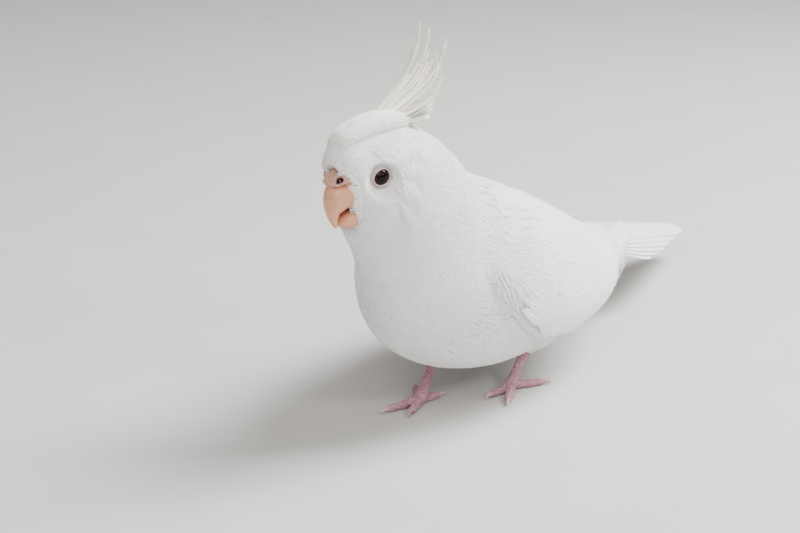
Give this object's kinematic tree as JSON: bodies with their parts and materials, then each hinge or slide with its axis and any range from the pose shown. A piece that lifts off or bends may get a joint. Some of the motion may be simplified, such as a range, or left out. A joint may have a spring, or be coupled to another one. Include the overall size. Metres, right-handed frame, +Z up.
{
  "type": "cockatiel model",
  "caption": "Life-size white cockatiel standing low with its crest raised and its head turned, in flat-footed rest on the floor.",
  "frame": {"origin": "middle of the bounding box's bottom face, on the floor", "axes": "-X is the way the body faces, +X runs to the tail tip, -Y is the bird's left side, +Z is up"},
  "size_m": [0.3066, 0.0842, 0.1589],
  "materials": {
    "plumage": "soft matte feather",
    "flight_feathers": "smooth matte feather",
    "horn": "slightly glossy horn",
    "cere_skin": "bare wrinkled skin",
    "leg_skin": "scaly skin",
    "eye": "wet gloss",
    "mouth": "moist"
  },
  "bodies": {
    "root": {"head": "plumage", "neck": "plumage", "torso": "plumage", "thigh_left": "plumage", "thigh_right": "plumage", "crest": "flight_feathers", "wing_left": "flight_feathers", "wing_right": "flight_feathers", "tail": "flight_feathers", "eye_left": "eye", "eye_right": "eye", "bill_upper": "horn", "bill_lower": "horn", "cere": "cere_skin", "tongue": "mouth", "shank_left": "leg_skin", "shank_right": "leg_skin", "foot_left": "leg_skin", "foot_right": "leg_skin", "claw_left_inner_front": "horn", "claw_left_outer_front": "horn", "claw_left_outer_back": "horn", "claw_left_inner_back": "horn", "claw_right_inner_front": "horn", "claw_right_outer_front": "horn", "claw_right_outer_back": "horn", "claw_right_inner_back": "horn"}
  },
  "joints": []
}
